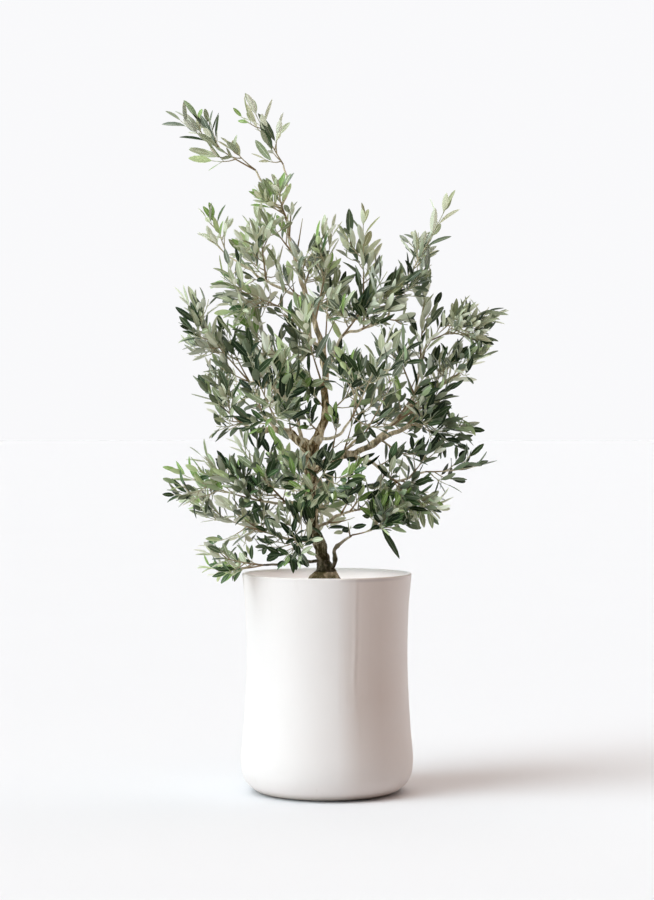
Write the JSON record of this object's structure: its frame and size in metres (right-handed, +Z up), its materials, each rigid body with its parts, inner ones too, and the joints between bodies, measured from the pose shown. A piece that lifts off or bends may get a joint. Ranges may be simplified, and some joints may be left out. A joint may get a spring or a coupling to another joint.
{
  "type": "potted olive tree",
  "caption": "Young olive tree with a leaning trunk, forking boughs and a loose airy crown of narrow grey-green leaves, growing in a tall round off-white planter.",
  "frame": {"origin": "middle of the planter's flat underside, at floor level", "axes": "+Z up along the planter's axis, viewer on the -Y side, +X to the viewer's right"},
  "size_m": [0.5517, 0.4184, 1.1181],
  "materials": {
    "pot": "matt off-white stoneware",
    "soil": "dark potting soil",
    "old_bark": "rough bark",
    "young_bark": "smooth young bark",
    "foliage": "leathery grey-green leaf"
  },
  "bodies": {
    "root": {"pot": "pot", "soil": "soil", "trunk": "old_bark", "leader": "old_bark", "left_arm": "old_bark", "right_arm": "old_bark", "left_riser": "young_bark", "left_brown_bough": "young_bark", "left_dark_bough": "young_bark", "left_upper_bough": "young_bark", "top_right_bough": "young_bark", "right_long_bough": "young_bark", "right_riser": "young_bark", "right_low_bough": "young_bark", "right_lowest_bough": "young_bark", "foot_twig": "young_bark", "left_low_bough": "young_bark", "left_lowest_bough": "young_bark", "foot_bough": "young_bark", "front_right_bough": "young_bark", "front_left_bough": "young_bark", "back_left_bough": "young_bark", "back_right_bough": "young_bark", "leaves_top_left": "foliage", "leaves_top": "foliage", "leaves_leader_tuft": "foliage", "leaves_left_slim": "foliage", "leaves_left_crest": "foliage", "leaves_mid_crest": "foliage", "leaves_right_crest": "foliage", "leaves_right_plume": "foliage", "leaves_right_high": "foliage", "leaves_right_slim": "foliage", "leaves_right_far": "foliage", "leaves_right_edge": "foliage", "leaves_left_edge": "foliage", "leaves_left_upper": "foliage", "leaves_left_inner": "foliage", "leaves_left_mid": "foliage", "leaves_front_left": "foliage", "leaves_front_upper": "foliage", "leaves_left_low": "foliage", "leaves_left_lowest": "foliage", "leaves_left_core": "foliage", "leaves_foot_left": "foliage", "leaves_foot_front": "foliage", "leaves_front_core": "foliage", "leaves_back_low": "foliage", "leaves_right_lowest": "foliage", "leaves_foot_right": "foliage", "leaves_right_low": "foliage", "leaves_right_low_tip": "foliage", "leaves_right_mid": "foliage", "leaves_front_right": "foliage", "leaves_right_inner": "foliage", "leaves_back_right": "foliage", "leaves_back_left": "foliage", "leaves_back_high": "foliage"}
  },
  "joints": []
}
